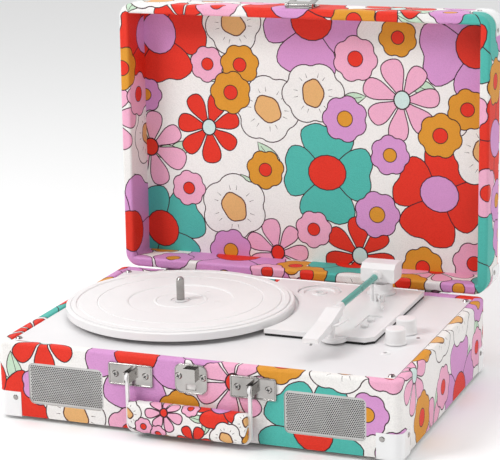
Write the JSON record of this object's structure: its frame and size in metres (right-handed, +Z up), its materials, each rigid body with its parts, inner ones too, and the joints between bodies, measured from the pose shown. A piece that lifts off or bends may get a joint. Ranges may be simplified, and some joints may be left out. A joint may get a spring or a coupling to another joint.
{
  "type": "suitcase record player",
  "caption": "Portable suitcase turntable with a hinged lid, belt-driven platter, tone arm, built-in speakers, carrying handle and latch.",
  "frame": {"origin": "on the floor under the middle of the whole open player", "axes": "+X along the front from left to right, +Y from front to back, +Z up"},
  "size_m": [0.359, 0.317, 0.3276],
  "materials": {
    "print": "printed leatherette, white ground with retro flowers, fine grain",
    "white_plastic": "satin moulded white plastic",
    "deck_white": "smooth satin white deck board",
    "teal_tube": "semi-gloss teal paint",
    "chrome": "bright nickel-chrome plating",
    "grille": "fine perforated sheet",
    "rubber": "soft matte rubber",
    "foot_rubber": "pale grey rubber feet",
    "steel": "plain steel",
    "dark_plastic": "black moulded plastic",
    "board_green": "green circuit laminate",
    "mdf": "raw fibreboard",
    "cone_paper": "black pulp speaker cone",
    "led_red": "translucent red lens",
    "stylus_red": "red stylus holder",
    "mat_white": "white moulded slip mat"
  },
  "bodies": {
    "base": {"amplifier_board": "board_green", "arm_rest": "white_plastic", "base_back_board": "print", "base_bottom_panel": "mdf", "base_corner_protectors": "white_plastic", "base_fasteners": "chrome", "base_front_board": "print", "base_left_board": "print", "base_right_board": "print", "control_pots": "steel", "corner_blocks": "mdf", "deck_board": "deck_white", "drive_belt": "rubber", "feet": "foot_rubber", "handle_bracket_left": "chrome", "handle_bracket_right": "chrome", "headphone_jack": "dark_plastic", "hinge_base_leaves": "chrome", "hinge_pins": "steel", "latch_plate": "chrome", "mechanism_plate": "white_plastic", "motor": "steel", "plate_mounts": "rubber", "power_led": "led_red", "rear_socket_panel": "dark_plastic", "rear_sockets": "chrome", "speaker_cones": "cone_paper", "speaker_grille_left": "grille", "speaker_grille_right": "grille", "speakers": "steel", "spindle": "chrome", "spindle_clip": "white_plastic"},
    "lid": {"lid_frame": "print", "lid_panel": "print", "lid_corner_protectors": "white_plastic", "hasp_plate": "chrome", "hinge_lid_leaves": "chrome", "lid_fasteners": "chrome"},
    "hasp": {"hasp": "chrome"},
    "handle": {"handle_band": "white_plastic", "handle_grip": "print"},
    "platter": {"platter": "white_plastic", "platter_mat": "mat_white"},
    "pulley": {"motor_pulley": "white_plastic"},
    "volume_control": {"volume_knob": "white_plastic"},
    "function_control": {"function_knob": "white_plastic"},
    "speed_switch": {"speed_switch_knob": "white_plastic"},
    "autostop_switch": {"autostop_switch_knob": "white_plastic"},
    "adapter": {"adapter_45": "white_plastic"},
    "cue_post": {"cue_lift_post": "white_plastic"},
    "cue_lever": {"cue_lever": "white_plastic"},
    "turret": {"arm_turret": "white_plastic", "arm_pivot_pin": "steel"},
    "arm": {"arm_housing": "white_plastic", "arm_tube": "teal_tube", "headshell_collar": "white_plastic", "headshell": "white_plastic", "finger_lift": "white_plastic", "cartridge": "dark_plastic", "stylus": "stylus_red"}
  },
  "joints": [
    {"name": "lid_hinge", "type": "hinge", "parent": "base", "child": "lid", "pos_m": [0, 0.10978, 0.065], "axis": [-1, 0, 0], "range_deg": [-91, 0]},
    {"name": "hasp_swing", "type": "hinge", "parent": "lid", "child": "hasp", "pos_m": [0, 0.12127, 0.32204], "axis": [1, 0, 0], "range_deg": [0, 164]},
    {"name": "handle_swing", "type": "hinge", "parent": "base", "child": "handle", "pos_m": [0, -0.15132, 0.051], "axis": [-1, 0, 0], "range_deg": [0, 100]},
    {"name": "platter_spin", "type": "hinge", "parent": "base", "child": "platter", "pos_m": [-0.0645, -0.01532, 0.075], "axis": [0, 0, -1], "continuous": true},
    {"name": "pulley_spin", "type": "hinge", "parent": "base", "child": "pulley", "pos_m": [-0.11258, 0.03276, 0.072], "axis": [0, 0, -1], "continuous": true},
    {"name": "arm_swing", "type": "hinge", "parent": "base", "child": "turret", "pos_m": [0.0915, 0.07568, 0.075], "axis": [0, 0, -1], "range_deg": [0, 43]},
    {"name": "arm_lift", "type": "hinge", "parent": "turret", "child": "arm", "pos_m": [0.0915, 0.07568, 0.0925], "axis": [-1, 0, 0], "range_deg": [0, 4]},
    {"name": "cue_lever_lift", "type": "hinge", "parent": "base", "child": "cue_lever", "pos_m": [0.0975, 0.04968, 0.0765], "axis": [-1, 0, 0], "range_deg": [0, 41]},
    {"name": "cue_post_rise", "type": "slide", "parent": "base", "child": "cue_post", "axis": [0, 0, 1], "range_m": [0, 0.002]},
    {"name": "volume_turn", "type": "hinge", "parent": "base", "child": "volume_control", "pos_m": [0.1425, -0.04582, 0.07], "axis": [0, 0, -1], "range_deg": [0, 280]},
    {"name": "function_turn", "type": "hinge", "parent": "base", "child": "function_control", "pos_m": [0.1425, -0.01562, 0.07], "axis": [0, 0, -1], "range_deg": [0, 90]},
    {"name": "speed_slide", "type": "slide", "parent": "base", "child": "speed_switch", "axis": [0, 1, 0], "range_m": [0, 0.006]},
    {"name": "autostop_slide", "type": "slide", "parent": "base", "child": "autostop_switch", "axis": [0, 1, 0], "range_m": [0, 0.006]},
    {"name": "adapter_lift_out", "type": "slide", "parent": "base", "child": "adapter", "axis": [0, 0, 1], "range_m": [0, 0.03]}
  ],
  "couplings": [
    {"joint": "pulley_spin", "follows": "platter_spin", "ratio": 10},
    {"joint": "cue_lever_lift", "follows": "arm_lift", "ratio": 10},
    {"joint": "cue_post_rise", "follows": "arm_lift", "m_per_rad": 0.027}
  ]
}
